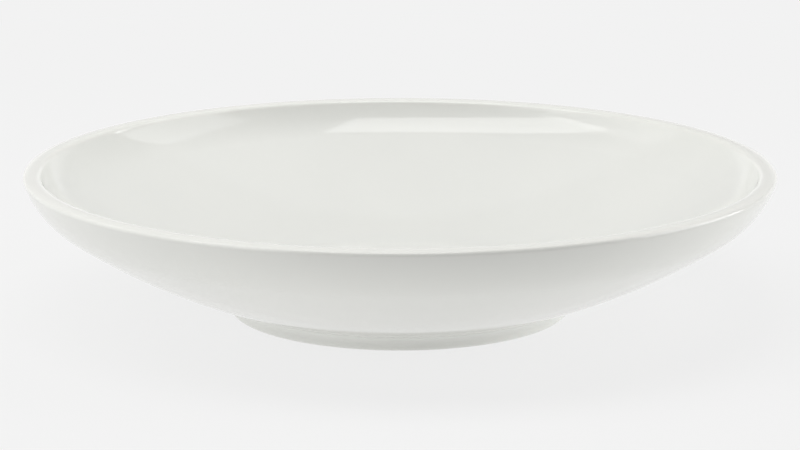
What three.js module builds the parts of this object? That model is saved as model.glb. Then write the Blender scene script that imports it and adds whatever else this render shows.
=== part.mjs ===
// Deep plate of white glazed porcelain, turned about the Z axis and standing on the plane z = 0.
// Millimetres, +Z up. A fired body, the glaze over it, and the glaze in the recess under its foot.
import * as THREE from "three";

// Overall sizes, measured over the glaze
const RIM_DIAMETER = 240;
const HEIGHT = 47;
const FOOT_DIAMETER = 110;

// Body wall, from the foot up to the lip
const WALL = 4.9;
const FLARE_RADIUS = 195; // the long, nearly straight part above the foot
const SHOULDER_RADIUS = 28.8; // the part that turns up under the lip
const LIP_SLOPE = 71; // degrees from the table, where the wall runs into the lip
const CREST_INSET = 3; // from the outside of the rim to the highest line of the lip
const CROWN_RADIUS = 5.7; // the lip's top
const OUTER_LIP_RADIUS = 0.8; // the lip's two edges, from its top into the wall
const INNER_LIP_RADIUS = 1.8;

// Floor of the well
const FLOOR_THICKNESS = 5;
const FLOOR_BLEND_RADIUS = 60; // from the flat floor into the wall

// Foot ring and the recess inside it
const FOOT_HEIGHT = 4.4;
const FOOT_WIDTH = 5;
const FOOT_FILLET_RADIUS = 4;
const FOOT_EDGE_RADIUS = 1;
const RECESS_DEPTH = 3.4;
const RECESS_FILLET_RADIUS = 1.2;

// Glaze, which stops part way round the foot's edges and leaves the standing ring bare
const GLAZE = 0.3;
const BOND_GAP = 0.02; // between the body and its glaze
const GLAZE_LINE = 45; // degrees round the foot's edges

// Facets
const TURN_STEPS = 60;
const CHORD_ERROR = 0.11;
const SAME_POINT = 0.0001; // closer points than this count as one

const WHITE_GLAZE = { color: 0xe8e9e4, roughness: 0.12, metalness: 0 };
const BARE_PORCELAIN = { color: 0xe3e1da, roughness: 0.75, metalness: 0 };

const UP = Math.PI / 2;
const INWARDS = Math.PI;

// A profile lies in the half plane of radius (x) and height (y).
function at(centre, distance, angle) {
  const x = centre.x + distance * Math.cos(angle);
  return new THREE.Vector2(x, centre.y + distance * Math.sin(angle));
}

function angleTo(from, to) {
  return Math.atan2(to.y - from.y, to.x - from.x);
}

// The point at given distances from two others, on the left of the way from the first to the second.
function meet(first, fromFirst, second, fromSecond) {
  const apart = first.distanceTo(second);
  const along = (fromFirst ** 2 - fromSecond ** 2 + apart ** 2) / (2 * apart);
  const aside = Math.sqrt(fromFirst ** 2 - along ** 2);
  const heading = angleTo(first, second);
  return at(at(first, along, heading), aside, heading + UP);
}

function arc(centre, radius, from, to) {
  const step = 2 * Math.acos(1 - CHORD_ERROR / radius);
  const chords = Math.ceil(Math.abs(to - from) / step);
  return Array.from({ length: chords + 1 }, (_, i) =>
    at(centre, radius, from + ((to - from) * i) / chords),
  );
}

// Runs of points one after the other, where each run may start on the end of the one before.
function joined(...runs) {
  return runs.flat().filter((p, i, all) => i === 0 || p.distanceTo(all[i - 1]) > SAME_POINT);
}

// The profile moved off the body, point for point, with its ends kept on the axis.
function movedOff(profile, distance) {
  const across = (p) => new THREE.Vector2(-p.x, p.y);
  return profile.map((p, i) => {
    const before = profile[i - 1] ?? across(profile[i + 1]);
    const after = profile[i + 1] ?? across(profile[i - 1]);
    const turn = angleTo(p, after) - angleTo(before, p);
    const half = Math.atan2(Math.sin(turn), Math.cos(turn)) / 2;
    return at(p, distance, angleTo(before, p) + half + UP);
  });
}

// The lip has a gently crowned top between two rounded edges, and the outer one places the wall below it.
const crownCentre = new THREE.Vector2(RIM_DIAMETER / 2 - CREST_INSET, HEIGHT - GLAZE - CROWN_RADIUS);
const outerLipX = RIM_DIAMETER / 2 - GLAZE - OUTER_LIP_RADIUS;
const outerLipRise = Math.sqrt((CROWN_RADIUS - OUTER_LIP_RADIUS) ** 2 - (outerLipX - crownCentre.x) ** 2);
const outerLip = new THREE.Vector2(outerLipX, crownCentre.y + outerLipRise);
const lipAngle = THREE.MathUtils.degToRad(LIP_SLOPE) - UP;

// Outside: the shoulder leaves the lip smoothly, and the flare runs from it to the top of the foot.
const footRadius = FOOT_DIAMETER / 2 - GLAZE;
const footTop = new THREE.Vector2(footRadius, FOOT_HEIGHT);
const shoulderCentre = at(outerLip, SHOULDER_RADIUS - OUTER_LIP_RADIUS, lipAngle + INWARDS);
const flareCentre = meet(footTop, FLARE_RADIUS, shoulderCentre, FLARE_RADIUS - SHOULDER_RADIUS);
const shoulderEnd = angleTo(flareCentre, shoulderCentre);

const filletX = footRadius + FOOT_FILLET_RADIUS;
const filletDrop = Math.sqrt((FLARE_RADIUS + FOOT_FILLET_RADIUS) ** 2 - (filletX - flareCentre.x) ** 2);
const filletCentre = new THREE.Vector2(filletX, flareCentre.y - filletDrop);

// Inside: the same arcs one wall further in, down to a flat floor.
const innerFlare = FLARE_RADIUS - WALL;
const innerShoulder = SHOULDER_RADIUS - WALL;

// The lip's inner edge runs from its crown into the inner shoulder.
const innerLip = meet(
  shoulderCentre,
  innerShoulder + INNER_LIP_RADIUS,
  crownCentre,
  CROWN_RADIUS - INNER_LIP_RADIUS,
);

const floorHeight = RECESS_DEPTH + FLOOR_THICKNESS;
const blendY = floorHeight + FLOOR_BLEND_RADIUS;
const blendReach = Math.sqrt((innerFlare - FLOOR_BLEND_RADIUS) ** 2 - (flareCentre.y - blendY) ** 2);
const blendCentre = new THREE.Vector2(flareCentre.x + blendReach, blendY);

// Under the foot: two rounded edges with the standing ring between them, and the recess.
const recessRadius = footRadius - FOOT_WIDTH;
const outerEdge = new THREE.Vector2(footRadius - FOOT_EDGE_RADIUS, FOOT_EDGE_RADIUS);
const innerEdge = new THREE.Vector2(recessRadius + FOOT_EDGE_RADIUS, FOOT_EDGE_RADIUS);
const glazeLine = THREE.MathUtils.degToRad(GLAZE_LINE);
const recessFillet = new THREE.Vector2(
  recessRadius - RECESS_FILLET_RADIUS,
  RECESS_DEPTH - RECESS_FILLET_RADIUS,
);

const glazedOver = joined(
  [new THREE.Vector2(0, floorHeight)],
  arc(blendCentre, FLOOR_BLEND_RADIUS, -UP, angleTo(flareCentre, blendCentre)),
  arc(flareCentre, innerFlare, angleTo(flareCentre, blendCentre), shoulderEnd),
  arc(shoulderCentre, innerShoulder, shoulderEnd, angleTo(shoulderCentre, innerLip)),
  arc(innerLip, INNER_LIP_RADIUS, angleTo(innerLip, shoulderCentre), angleTo(crownCentre, innerLip)),
  arc(crownCentre, CROWN_RADIUS, angleTo(crownCentre, innerLip), UP),
  arc(crownCentre, CROWN_RADIUS, UP, angleTo(crownCentre, outerLip)),
  arc(outerLip, OUTER_LIP_RADIUS, angleTo(crownCentre, outerLip), 0),
  arc(outerLip, OUTER_LIP_RADIUS, 0, lipAngle),
  arc(shoulderCentre, SHOULDER_RADIUS, lipAngle, shoulderEnd),
  arc(flareCentre, FLARE_RADIUS, shoulderEnd, angleTo(flareCentre, filletCentre)),
  arc(filletCentre, FOOT_FILLET_RADIUS, angleTo(filletCentre, flareCentre), INWARDS),
  arc(outerEdge, FOOT_EDGE_RADIUS, 0, -glazeLine),
);

const standingRing = joined(
  arc(outerEdge, FOOT_EDGE_RADIUS, -glazeLine, -UP),
  arc(innerEdge, FOOT_EDGE_RADIUS, -UP, glazeLine - INWARDS),
);

const glazedRecess = joined(
  arc(innerEdge, FOOT_EDGE_RADIUS, glazeLine - INWARDS, -INWARDS),
  arc(recessFillet, RECESS_FILLET_RADIUS, 0, UP),
  [new THREE.Vector2(0, RECESS_DEPTH)],
);

const bodyProfile = joined(glazedOver, standingRing, glazedRecess);

// Each glaze is a closed skin that follows the body's own profile, out from the axis and back to it.
const glazeFace = movedOff(bodyProfile, GLAZE);
const glazeBack = movedOff(bodyProfile, BOND_GAP);
const overEnd = glazedOver.length;
const recessStart = bodyProfile.length - glazedRecess.length;
const coatProfile = [...glazeFace.slice(0, overEnd), ...glazeBack.slice(0, overEnd).reverse()];
const recessProfile = [...glazeBack.slice(recessStart).reverse(), ...glazeFace.slice(recessStart)];

// The profiles run down the outside, and a lathe's faces point out where its profile runs up there.
function turned(name, profile, finish) {
  const geometry = new THREE.LatheGeometry(profile.toReversed(), TURN_STEPS).rotateX(UP);
  const mesh = new THREE.Mesh(geometry, new THREE.MeshStandardMaterial(finish));
  mesh.name = name;
  return mesh;
}

const plate = new THREE.Group();
plate.add(
  turned("porcelain_body", bodyProfile, BARE_PORCELAIN),
  turned("glaze_coat", coatProfile, WHITE_GLAZE),
  turned("foot_recess_glaze", recessProfile, WHITE_GLAZE),
);

export default plate;
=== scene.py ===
"""A deep plate of white glazed porcelain: its finely turned pieces, materials and studio."""

import math

import bpy
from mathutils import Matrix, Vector


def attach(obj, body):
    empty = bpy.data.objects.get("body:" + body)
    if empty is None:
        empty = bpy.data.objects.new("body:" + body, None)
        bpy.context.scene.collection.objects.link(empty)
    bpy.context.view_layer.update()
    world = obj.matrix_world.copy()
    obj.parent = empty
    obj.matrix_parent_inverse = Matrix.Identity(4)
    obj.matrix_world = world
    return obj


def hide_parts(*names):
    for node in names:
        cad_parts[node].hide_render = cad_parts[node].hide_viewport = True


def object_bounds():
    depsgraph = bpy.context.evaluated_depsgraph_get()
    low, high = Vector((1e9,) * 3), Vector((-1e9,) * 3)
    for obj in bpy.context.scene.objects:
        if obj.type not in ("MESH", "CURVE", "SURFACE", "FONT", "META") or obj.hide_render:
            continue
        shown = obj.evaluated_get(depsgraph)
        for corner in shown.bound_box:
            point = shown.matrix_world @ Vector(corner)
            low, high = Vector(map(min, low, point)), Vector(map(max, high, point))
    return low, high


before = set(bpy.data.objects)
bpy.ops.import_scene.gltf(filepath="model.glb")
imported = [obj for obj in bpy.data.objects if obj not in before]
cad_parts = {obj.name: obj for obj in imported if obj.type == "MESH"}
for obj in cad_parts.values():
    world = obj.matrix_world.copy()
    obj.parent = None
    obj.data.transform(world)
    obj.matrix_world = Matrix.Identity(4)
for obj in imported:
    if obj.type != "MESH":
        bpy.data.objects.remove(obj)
cad_low, cad_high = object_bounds()

MM = 0.001

# Sizes over the glaze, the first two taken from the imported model
RIM_RADIUS = (cad_high.x - cad_low.x) / 2
HEIGHT = cad_high.z - cad_low.z
FOOT_RADIUS = 55 * MM

# Body wall, from the foot up to the lip
WALL = 4.9 * MM
FLARE_RADIUS = 195 * MM  # the long, nearly straight part above the foot
SHOULDER_RADIUS = 28.8 * MM  # the part that turns up under the lip
LIP_SLOPE = math.radians(71)  # from the table, where the wall runs into the lip
CREST_INSET = 3 * MM  # from the outside of the rim to the highest line of the lip
CROWN_RADIUS = 5.7 * MM  # the lip's top
OUTER_LIP_RADIUS = 0.8 * MM  # the lip's two edges, from its top into the wall
INNER_LIP_RADIUS = 1.8 * MM

# Floor of the well
FLOOR_THICKNESS = 5 * MM
FLOOR_BLEND_RADIUS = 60 * MM  # from the flat floor into the wall

# Foot ring and the recess inside it
FOOT_HEIGHT = 4.4 * MM
FOOT_WIDTH = 5 * MM
FOOT_FILLET_RADIUS = 4 * MM
FOOT_EDGE_RADIUS = 1 * MM
RECESS_DEPTH = 3.4 * MM
RECESS_FILLET_RADIUS = 1.2 * MM

# Glaze, which stops part way round the foot's edges and leaves the standing ring bare
GLAZE = 0.3 * MM
BOND_GAP = 0.02 * MM  # between the body and its glaze
GLAZE_LINE = math.radians(45)  # round the foot's edges

# Fineness of the turned meshes
TURN_STEPS = 192
CHORD_ERROR = 0.002 * MM
FLAT_STEP = 6 * MM
CAP_STEPS = 6
SAME_POINT = 0.0001 * MM  # closer points than this count as one

UP = math.pi / 2
INWARDS = math.pi


def add_object(name, data):
    thing = bpy.data.objects.new(name, data)
    bpy.context.scene.collection.objects.link(thing)
    return thing


# A profile is a list of (point, normal) pairs in the half plane of radius and height.
def towards(angle):
    return Vector((math.cos(angle), math.sin(angle)))


def angle_to(start, end):
    return math.atan2(end.y - start.y, end.x - start.x)


def meet(first, from_first, second, from_second):
    """The point at given distances from two others, on the left of the way between them."""
    apart = (second - first).length
    along = (from_first**2 - from_second**2 + apart**2) / (2 * apart)
    aside = math.sqrt(from_first**2 - along**2)
    heading = angle_to(first, second)
    return first + towards(heading) * along + towards(heading + UP) * aside


def arc(centre, radius, start, end, hollow=False):
    """Points on an arc, with normals that point off the body: inwards where the body is hollow."""
    step = 2 * math.acos(1 - CHORD_ERROR / radius)
    chords = math.ceil(abs(end - start) / step)
    side = -1 if hollow else 1
    angles = [start + (end - start) * i / chords for i in range(chords + 1)]
    return [(centre + towards(a) * radius, towards(a) * side) for a in angles]


def level(start, end, height, normal):
    """A level stretch of the profile, in equal steps."""
    steps = math.ceil(abs(end - start) / FLAT_STEP)
    radii = [start + (end - start) * i / steps for i in range(steps + 1)]
    return [(Vector((r, height)), Vector(normal)) for r in radii]


def joined(*runs):
    """Runs of points one after the other, each of which may start where the last one ended."""
    made = []
    for point, normal in (pair for run in runs for pair in run):
        if not made or (point - made[-1][0]).length > SAME_POINT:
            made.append((point, normal))
    return made


# The lip has a crowned top between two rounded edges, and the outer one places the wall below it.
crown_centre = Vector((RIM_RADIUS - CREST_INSET, HEIGHT - GLAZE - CROWN_RADIUS))
outer_lip_x = RIM_RADIUS - GLAZE - OUTER_LIP_RADIUS
outer_lip_reach = CROWN_RADIUS - OUTER_LIP_RADIUS
outer_lip_rise = math.sqrt(outer_lip_reach**2 - (outer_lip_x - crown_centre.x) ** 2)
outer_lip = Vector((outer_lip_x, crown_centre.y + outer_lip_rise))
lip_angle = LIP_SLOPE - UP

# Outside: the shoulder leaves the lip smoothly, and the flare runs from it to the top of the foot.
foot_radius = FOOT_RADIUS - GLAZE
foot_top = Vector((foot_radius, FOOT_HEIGHT))
shoulder_centre = outer_lip + towards(lip_angle + INWARDS) * (SHOULDER_RADIUS - OUTER_LIP_RADIUS)
flare_centre = meet(foot_top, FLARE_RADIUS, shoulder_centre, FLARE_RADIUS - SHOULDER_RADIUS)
shoulder_end = angle_to(flare_centre, shoulder_centre)

fillet_x = foot_radius + FOOT_FILLET_RADIUS
fillet_reach = FLARE_RADIUS + FOOT_FILLET_RADIUS
fillet_drop = math.sqrt(fillet_reach**2 - (fillet_x - flare_centre.x) ** 2)
fillet_centre = Vector((fillet_x, flare_centre.y - fillet_drop))
flare_end = angle_to(flare_centre, fillet_centre)

# Inside: the same arcs one wall further in, from the lip's inner edge down to a flat floor.
inner_flare = FLARE_RADIUS - WALL
inner_shoulder = SHOULDER_RADIUS - WALL
inner_lip = meet(
    shoulder_centre,
    inner_shoulder + INNER_LIP_RADIUS,
    crown_centre,
    CROWN_RADIUS - INNER_LIP_RADIUS,
)
inner_shoulder_end = angle_to(shoulder_centre, inner_lip)
crown_start = angle_to(crown_centre, inner_lip)
crown_end = angle_to(crown_centre, outer_lip)

floor_height = RECESS_DEPTH + FLOOR_THICKNESS
blend_y = floor_height + FLOOR_BLEND_RADIUS
blend_reach = inner_flare - FLOOR_BLEND_RADIUS
blend_x = flare_centre.x + math.sqrt(blend_reach**2 - (flare_centre.y - blend_y) ** 2)
blend_centre = Vector((blend_x, blend_y))
blend_end = angle_to(flare_centre, blend_centre)

# Under the foot: two rounded edges with the standing ring between them, and the recess.
recess_radius = foot_radius - FOOT_WIDTH
outer_edge = Vector((foot_radius - FOOT_EDGE_RADIUS, FOOT_EDGE_RADIUS))
inner_edge = Vector((recess_radius + FOOT_EDGE_RADIUS, FOOT_EDGE_RADIUS))
recess_fillet = Vector((recess_radius - RECESS_FILLET_RADIUS, RECESS_DEPTH - RECESS_FILLET_RADIUS))

glazed_over = joined(
    level(0, blend_centre.x, floor_height, (0, 1)),
    arc(blend_centre, FLOOR_BLEND_RADIUS, -UP, blend_end, hollow=True),
    arc(flare_centre, inner_flare, blend_end, shoulder_end, hollow=True),
    arc(shoulder_centre, inner_shoulder, shoulder_end, inner_shoulder_end, hollow=True),
    arc(inner_lip, INNER_LIP_RADIUS, angle_to(inner_lip, shoulder_centre), crown_start),
    arc(crown_centre, CROWN_RADIUS, crown_start, UP),
    arc(crown_centre, CROWN_RADIUS, UP, crown_end),
    arc(outer_lip, OUTER_LIP_RADIUS, crown_end, 0),
    arc(outer_lip, OUTER_LIP_RADIUS, 0, lip_angle),
    arc(shoulder_centre, SHOULDER_RADIUS, lip_angle, shoulder_end),
    arc(flare_centre, FLARE_RADIUS, shoulder_end, flare_end),
    arc(
        fillet_centre,
        FOOT_FILLET_RADIUS,
        angle_to(fillet_centre, flare_centre),
        INWARDS,
        hollow=True,
    ),
    arc(outer_edge, FOOT_EDGE_RADIUS, 0, -GLAZE_LINE),
)
standing_ring = joined(
    arc(outer_edge, FOOT_EDGE_RADIUS, -GLAZE_LINE, -UP),
    arc(inner_edge, FOOT_EDGE_RADIUS, -UP, GLAZE_LINE - INWARDS),
)
glazed_recess = joined(
    arc(inner_edge, FOOT_EDGE_RADIUS, GLAZE_LINE - INWARDS, -INWARDS),
    arc(recess_fillet, RECESS_FILLET_RADIUS, 0, UP, hollow=True),
    level(recess_fillet.x, 0, RECESS_DEPTH, (0, -1)),
)


def moved_off(run, distance):
    return [(point + normal * distance, normal) for point, normal in run]


def turned_over(run):
    """The run backwards, facing the other way."""
    return [(point, -normal) for point, normal in reversed(run)]


def cap(end, onward):
    """The rounded edge of the glaze at the end of its run, from its face round to its back."""
    point, normal = end
    middle = point + normal * (GLAZE + BOND_GAP) / 2
    radius = (GLAZE - BOND_GAP) / 2
    turns = [math.pi * i / CAP_STEPS for i in range(1, CAP_STEPS)]
    outs = [normal * math.cos(t) + onward * math.sin(t) for t in turns]
    return [(middle + out * radius, out) for out in outs]


def skin(run, onward):
    """A closed glaze over a run that leaves the axis: its face, its rounded edge and its back."""
    back = turned_over(moved_off(run, BOND_GAP))
    return [*moved_off(run, GLAZE), *cap(run[-1], onward), *back]


def turned(name, profile):
    """A profile from the axis back to the axis, turned into a closed mesh with exact normals."""
    corners = [towards(2 * math.pi * i / TURN_STEPS) for i in range(TURN_STEPS)]
    points, normals, rings, faces = [], [], [], []
    for point, normal in profile:
        on_axis = point.x < SAME_POINT
        ring = [Vector((1, 0))] if on_axis else corners
        rings.append(range(len(points), len(points) + len(ring)))
        for c in ring:
            points.append((c.x * point.x, c.y * point.x, point.y))
            sideways = 0 if on_axis else normal.x
            normals.append((c.x * sideways, c.y * sideways, normal.y))
    for upper, lower in zip(rings, rings[1:]):
        for i in range(TURN_STEPS):
            j = (i + 1) % TURN_STEPS
            if len(upper) == 1:
                faces.append((upper[0], lower[i], lower[j]))
            elif len(lower) == 1:
                faces.append((upper[j], upper[i], lower[0]))
            else:
                faces.append((upper[i], lower[i], lower[j], upper[j]))
    mesh = bpy.data.meshes.new(name)
    mesh.from_pydata(points, [], faces)
    mesh.polygons.foreach_set("use_smooth", [True] * len(mesh.polygons))
    mesh.normals_split_custom_set_from_vertices(normals)
    return add_object(name, mesh)


# Materials. Colours are linear, and a share of 1 is the whole of a colour.
GLAZE_COLOR = (0.805, 0.810, 0.774, 1)
GLAZE_ROUGHNESS = (0.05, 0.09)
GLAZE_IOR = 1.5
GLOSS_SIZE = 24 * MM

# Where the glaze lies deeper, in clouds and in the middle of well and recess, and painted shade
# towards the foot
POOLED_AND_SHADE_COLOR = (0.772, 0.780, 0.748, 1)
CLOUD_SIZE = 55 * MM
CLOUD_SHARE = 0.45
FOOT_SHADE_HEIGHTS = (3 * MM, 9 * MM)
FOOT_SHADE_SHARE = 0.2
WELL_POOL_RADII = (50 * MM, 60 * MM)
WELL_POOL_SHARE = 0.35

# Painted highlight: the glaze lighter on the top of the lip
LIP_HIGHLIGHT_COLOR = (0.820, 0.819, 0.779, 1)
LIP_HIGHLIGHT_HEIGHTS = (HEIGHT - 2.2 * MM, HEIGHT - 0.4 * MM)
LIP_HIGHLIGHT_SHARE = 0.8

# The glaze's unevenness: fine, wide, and in rings in the recess
PEEL_SIZE = 6 * MM
PEEL_HEIGHT = 0.006 * MM
SWELL_SIZE = 45 * MM
SWELL_HEIGHT = 0.05 * MM
RIPPLE_SIZE = 5 * MM
RIPPLE_HEIGHT = 0.004 * MM

# The bare standing ring, with rubbed patches, grain and the strokes of its grinding
BARE_COLOR = (0.768, 0.750, 0.697, 1)
BARE_ROUGHNESS = (0.62, 0.82)
RUBBED_COLOR = (0.655, 0.634, 0.583, 1)
RUBBED_SIZE = 13 * MM
RUBBED_NOISE = (0.48, 0.75)  # the noise's values over which the rubbing sets in
RUBBED_SHARE = 0.7
GRAIN_SIZE = 0.4 * MM
GRAIN_HEIGHT = 0.02 * MM
STROKE_SIZE = 0.35 * MM
STROKE_HEIGHT = 0.004 * MM
WANDER_SIZE = 9 * MM
WANDER_REACH = 0.5 * MM

# Noise: the range that holds nearly all its values, and how broken up it is
NOISE_RANGE = (0.3, 0.7)
SMOOTH = 1
SOFT = 2
CLOUDY = 3
PATCHY = 4

# The Mix node's sockets for colours
MIX_SHARE, MIX_FIRST, MIX_SECOND, MIX_RESULT = 0, 6, 7, 2


class Nodes:
    """A material's or world's node tree, with nodes made and joined in one line each."""

    def __init__(self, tree):
        self.tree = tree
        tree.nodes.clear()

    def add(self, kind, inputs=None, **settings):
        """A node whose inputs are joined to sockets or set to values."""
        node = self.tree.nodes.new(kind)
        for key, value in settings.items():
            setattr(node, key, value)
        for key, value in (inputs or {}).items():
            if isinstance(value, bpy.types.NodeSocket):
                self.tree.links.new(value, node.inputs[key])
            else:
                node.inputs[key].default_value = value
        return node

    def show(self, shader):
        """The shader as the material's surface."""
        self.add("ShaderNodeOutputMaterial", {"Surface": shader.outputs[0]})

    def math(self, operation, *values):
        inputs = dict(enumerate(values))
        return self.add("ShaderNodeMath", inputs, operation=operation).outputs[0]

    def ranged(self, value, span, start, end):
        """A smooth change from start to end over a span of the value."""
        low, high = span
        inputs = {"Value": value, "From Min": low, "From Max": high, "To Min": start, "To Max": end}
        node = self.add("ShaderNodeMapRange", inputs, interpolation_type="SMOOTHSTEP")
        return node.outputs["Result"]

    def noise(self, where, size, detail):
        """Noise with features of a given size in metres."""
        inputs = {"Vector": where, "Scale": 1 / size, "Detail": detail}
        return self.add("ShaderNodeTexNoise", inputs).outputs["Fac"]

    def waves(self, value, length):
        """Waves between -1 and 1, of a given length in metres."""
        return self.math("SINE", self.math("MULTIPLY", value, 2 * math.pi / length))

    def stacked(self, layers):
        """The sum of several patterns, each times its height."""
        total, *others = [self.math("MULTIPLY", *layer) for layer in layers]
        for other in others:
            total = self.math("ADD", total, other)
        return total

    def mixed(self, share, first, second):
        """A share of the second colour over the first."""
        inputs = {MIX_SHARE: share, MIX_FIRST: first, MIX_SECOND: second}
        return self.add("ShaderNodeMix", inputs, data_type="RGBA").outputs[MIX_RESULT]


def new_material(name):
    material = bpy.data.materials.new(name)
    material.use_nodes = True
    return material, Nodes(material.node_tree)


def place(nodes):
    """The point on the object, its height and its distance from the axis, in metres."""
    where = nodes.add("ShaderNodeTexCoord").outputs["Object"]
    parts = nodes.add("ShaderNodeSeparateXYZ", {"Vector": where}).outputs
    flat = nodes.add("ShaderNodeCombineXYZ", {"X": parts["X"], "Y": parts["Y"]})
    length = nodes.add("ShaderNodeVectorMath", {0: flat.outputs[0]}, operation="LENGTH")
    return where, parts["Z"], length.outputs["Value"]


def porcelain(nodes, relief, inputs):
    """The surface of glaze or body, with a relief in metres."""
    bump = nodes.add("ShaderNodeBump", {"Height": relief, "Strength": 1, "Distance": 1})
    inputs = {**inputs, "Normal": bump.outputs[0]}
    nodes.show(nodes.add("ShaderNodeBsdfPrincipled", inputs))


def glaze_material(name, rippled):
    """Glaze over white porcelain: deeper in clouds and the hollows, with painted shade towards the
    foot and a painted highlight on the lip, not quite flat.
    """
    material, nodes = new_material(name)
    where, height, radius = place(nodes)
    cloud = nodes.ranged(nodes.noise(where, CLOUD_SIZE, CLOUDY), NOISE_RANGE, 0, CLOUD_SHARE)
    # Painted shade: the glaze darker towards the foot, in the crease above it
    foot_shade = nodes.ranged(height, FOOT_SHADE_HEIGHTS, FOOT_SHADE_SHARE, 0)
    well_pool = nodes.ranged(radius, WELL_POOL_RADII, WELL_POOL_SHARE, 0)
    deep_and_shade = nodes.math("ADD", cloud, nodes.math("MAXIMUM", foot_shade, well_pool))
    # Painted highlight: lighter on the top of the lip
    lip_highlight = nodes.ranged(height, LIP_HIGHLIGHT_HEIGHTS, 0, LIP_HIGHLIGHT_SHARE)
    color = nodes.mixed(deep_and_shade, GLAZE_COLOR, POOLED_AND_SHADE_COLOR)
    color = nodes.mixed(lip_highlight, color, LIP_HIGHLIGHT_COLOR)
    rough = nodes.ranged(nodes.noise(where, GLOSS_SIZE, CLOUDY), NOISE_RANGE, *GLAZE_ROUGHNESS)
    layers = [
        (nodes.noise(where, PEEL_SIZE, SMOOTH), PEEL_HEIGHT),
        (nodes.noise(where, SWELL_SIZE, SMOOTH), SWELL_HEIGHT),
    ]
    if rippled:
        layers.append((nodes.waves(radius, RIPPLE_SIZE), RIPPLE_HEIGHT))
    inputs = {"Base Color": color, "Roughness": rough, "IOR": GLAZE_IOR}
    porcelain(nodes, nodes.stacked(layers), inputs)
    return material


def bare_material(name):
    """Unglazed porcelain: matt and fine grained, ground flat in circles and a little rubbed."""
    material, nodes = new_material(name)
    where, _, radius = place(nodes)
    wander = nodes.math("MULTIPLY", nodes.noise(where, WANDER_SIZE, SOFT), WANDER_REACH)
    strokes = nodes.waves(nodes.math("ADD", radius, wander), STROKE_SIZE)
    grain = nodes.noise(where, GRAIN_SIZE, CLOUDY)
    patches = nodes.noise(where, RUBBED_SIZE, PATCHY)
    rubbed = nodes.ranged(patches, RUBBED_NOISE, 0, RUBBED_SHARE)
    color = nodes.mixed(rubbed, BARE_COLOR, RUBBED_COLOR)
    rough = nodes.ranged(grain, NOISE_RANGE, *BARE_ROUGHNESS)
    relief = nodes.stacked([(strokes, STROKE_HEIGHT), (grain, GRAIN_HEIGHT)])
    porcelain(nodes, relief, {"Base Color": color, "Roughness": rough})
    return material


# The pieces. The recess' run ends on the axis, so its skin is made backwards and turned round.
body_profile = joined(glazed_over, standing_ring, glazed_recess)
coat_profile = skin(glazed_over, towards(-GLAZE_LINE - UP))
recess_profile = skin(glazed_recess[::-1], towards(GLAZE_LINE - UP))[::-1]

body = turned("plate_body", body_profile)
coat = turned("plate_glaze", coat_profile)
recess = turned("foot_recess_skin", recess_profile)

bare_finish = bare_material("bare_porcelain_grain")
coat_finish = glaze_material("white_glaze_clear", rippled=False)
recess_finish = glaze_material("recess_glaze_rippled", rippled=True)

for piece, node, slot, material in (
    (body, "porcelain_body", "bare_porcelain", bare_finish),
    (coat, "glaze_coat", "white_glaze", coat_finish),
    (recess, "foot_recess_glaze", "recess_glaze", recess_finish),
):
    piece.data.materials.append(material)
    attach(piece, "root")
    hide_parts(node)


# Studio, in metres, with brightnesses of which 1 is white
BACKGROUND = 0.888  # of the floor and the backdrop, as they show

# The floor as it shows: plain far from the plate, and near it with a share that takes its shadow
FLOOR_SIDE = 12.0
FLOOR_GAP = 0.1 * MM  # under the standing ring
FLOOR_SHOWN = 0.88  # the colour that takes the shadow
SHADE_RADII = (0.20, 0.65)
PLAIN_SHARE = 0.85  # at the inner of these

# The floor as it lights the plate: darker, with a soft pool of light about the foot
FLOOR_COLOR = 0.3
POOL_RADII = (0.13, 0.36)
POOL_GLOW = 0.62
POOL_GLOW_FAR = 0.28

# The room: a low backdrop, dimmer on the camera's side, under an even light
AMBIENT = 0.565
FRONT_LEVEL = 0.3
BACKDROP_RISES = (0.10, 0.22)  # upward part of the directions over which the backdrop ends
FRONT_DEPTHS = (-0.85, -0.25)  # rearward part of those over which the camera's side ends

LIGHT_AIM = (0, 0, 0.03)  # where the aimed lights and the card point
LIGHT_POWER = 4  # of a light of brightness 1, in watts per square metre

# Name, place, width, depth and brightness
DOWNWARD_LIGHTS = (
    ("top_light", (-0.42, -0.15, 1.0), 1.25, 0.545, 2.08),
    ("top_back_light", (0.0, 0.45, 1.0), 1.8, 0.6, 0.2),
)
AIMED_LIGHTS = (
    ("left_light", (-1.1, 0.0, 0.8), 1.2, 0.6, 0.6),
    ("left_low_light", (-1.2, 0.0, 0.25), 1.2, 0.5, 0.24),
    ("front_left_light", (-0.95, -0.8, 0.45), 0.8, 0.8, 1.1),
    ("right_light", (1.0, 0.1, 0.8), 0.9, 0.6, 1.07),
    ("right_low_light", (1.2, 0.1, 0.25), 1.0, 0.5, 2.87),
)

CARD_PLACE = (0.31, -0.91, 0.72)
CARD_WIDTH = 2.2
CARD_DEPTH = 1.5
CARD_COLOR = 0.02


def grey(value):
    return (value, value, value, 1)


def facing(thing, aim):
    way = Vector(aim) - thing.location
    thing.rotation_euler = way.to_track_quat("-Z", "Y").to_euler()


def sheet(name, width, depth):
    """A flat rectangle about its own middle."""
    w, d = width / 2, depth / 2
    mesh = bpy.data.meshes.new(name)
    mesh.from_pydata([(-w, -d, 0), (w, -d, 0), (w, d, 0), (-w, d, 0)], [], [(0, 1, 2, 3)])
    return add_object(name, mesh)


def seen(nodes):
    """1 for the rays that show the background itself: straight on, mirrored or through glass."""
    path = nodes.add("ShaderNodeLightPath").outputs
    shown = nodes.math("MAXIMUM", path["Is Camera Ray"], path["Is Glossy Ray"])
    return nodes.math("MAXIMUM", shown, path["Is Transmission Ray"])


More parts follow.
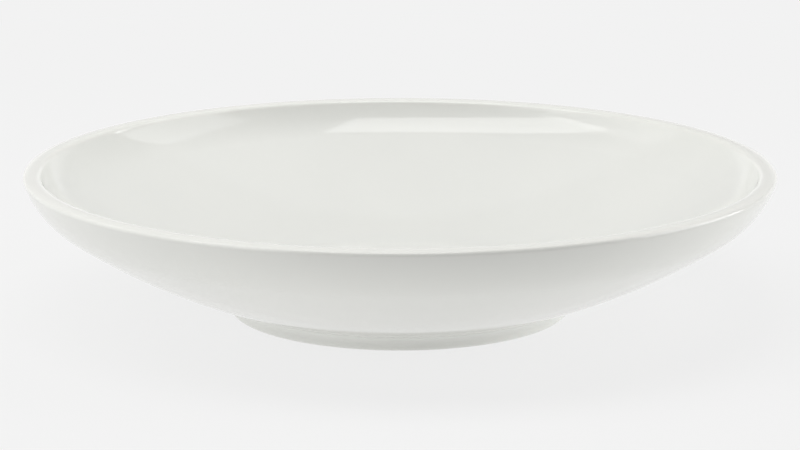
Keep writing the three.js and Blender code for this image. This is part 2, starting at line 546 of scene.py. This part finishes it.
def floor_material():
    """Pale like the background, with the plate's shadow on it, and open from below."""
    material, nodes = new_material("pale_floor")
    radius = place(nodes)[2]
    shown = seen(nodes)
    glow_level = nodes.ranged(radius, POOL_RADII, POOL_GLOW, POOL_GLOW_FAR)
    pool = nodes.math("MULTIPLY", glow_level, nodes.math("SUBTRACT", 1, shown))
    plain_level = nodes.ranged(radius, SHADE_RADII, PLAIN_SHARE, 1)
    plain = nodes.math("MULTIPLY", plain_level, shown)
    tone = nodes.mixed(shown, grey(FLOOR_COLOR), grey(FLOOR_SHOWN))
    shaded = nodes.add("ShaderNodeBsdfDiffuse", {"Color": tone}).outputs[0]
    glow = nodes.add("ShaderNodeEmission", {"Color": grey(1), "Strength": pool}).outputs[0]
    lit = nodes.add("ShaderNodeAddShader", {0: shaded, 1: glow}).outputs[0]
    pale = nodes.add("ShaderNodeEmission", {"Color": grey(BACKGROUND)}).outputs[0]
    above = nodes.add("ShaderNodeMixShader", {0: plain, 1: lit, 2: pale}).outputs[0]
    from_below = nodes.add("ShaderNodeNewGeometry").outputs["Backfacing"]
    clear = nodes.add("ShaderNodeBsdfTransparent").outputs[0]
    nodes.show(nodes.add("ShaderNodeMixShader", {0: from_below, 1: above, 2: clear}))
    return material


def pale_floor():
    floor = sheet("floor", FLOOR_SIDE, FLOOR_SIDE)
    floor.location.z = -FLOOR_GAP
    floor.data.materials.append(floor_material())


def pale_world():
    world = bpy.data.worlds.new("studio")
    world.use_nodes = True
    bpy.context.scene.world = world
    nodes = Nodes(world.node_tree)
    way = nodes.add("ShaderNodeTexCoord").outputs["Generated"]
    parts = nodes.add("ShaderNodeSeparateXYZ", {"Vector": way}).outputs
    backdrop = nodes.ranged(parts["Y"], FRONT_DEPTHS, FRONT_LEVEL, BACKGROUND)
    strength = nodes.ranged(parts["Z"], BACKDROP_RISES, backdrop, AMBIENT)
    light = nodes.add("ShaderNodeBackground", {"Color": grey(1), "Strength": strength})
    nodes.add("ShaderNodeOutputWorld", {"Surface": light.outputs[0]})


def softbox(name, where, width, depth, brightness):
    """A soft light that looks straight down."""
    lamp = bpy.data.lights.new(name, "AREA")
    lamp.shape = "RECTANGLE"
    lamp.size, lamp.size_y = width, depth
    lamp.energy = brightness * LIGHT_POWER * width * depth
    light = add_object(name, lamp)
    light.location = where
    light.visible_camera = False
    return light


def dark_card(name):
    """A dark card on the camera's side, which keeps light off and shows only in the gloss."""
    card = sheet(name, CARD_WIDTH, CARD_DEPTH)
    card.location = CARD_PLACE
    card.visible_camera = False
    facing(card, LIGHT_AIM)
    material, nodes = new_material(name)
    nodes.show(nodes.add("ShaderNodeBsdfDiffuse", {"Color": grey(CARD_COLOR)}))
    card.data.materials.append(material)


pale_floor()
pale_world()
dark_card("front_card")
for row in DOWNWARD_LIGHTS:
    softbox(*row)
for row in AIMED_LIGHTS:
    facing(softbox(*row), LIGHT_AIM)

# Camera at the photograph's viewing angle
CAMERA_DISTANCE = 0.84
CAMERA_RISE = math.radians(13.072)
CAMERA_LENS = 117.08  # mm, as is the sensor
CAMERA_SENSOR = 36
CAMERA_AIM = Vector((0, 0, 0.02666))

camera_data = bpy.data.cameras.new("camera")
camera_data.lens = CAMERA_LENS
camera_data.sensor_width = CAMERA_SENSOR
camera = add_object("camera", camera_data)
backward = Vector((0, -math.cos(CAMERA_RISE), math.sin(CAMERA_RISE)))
camera.location = CAMERA_AIM + backward * CAMERA_DISTANCE
facing(camera, CAMERA_AIM)
bpy.context.scene.camera = camera
bpy.context.scene.view_settings.view_transform = "Standard"
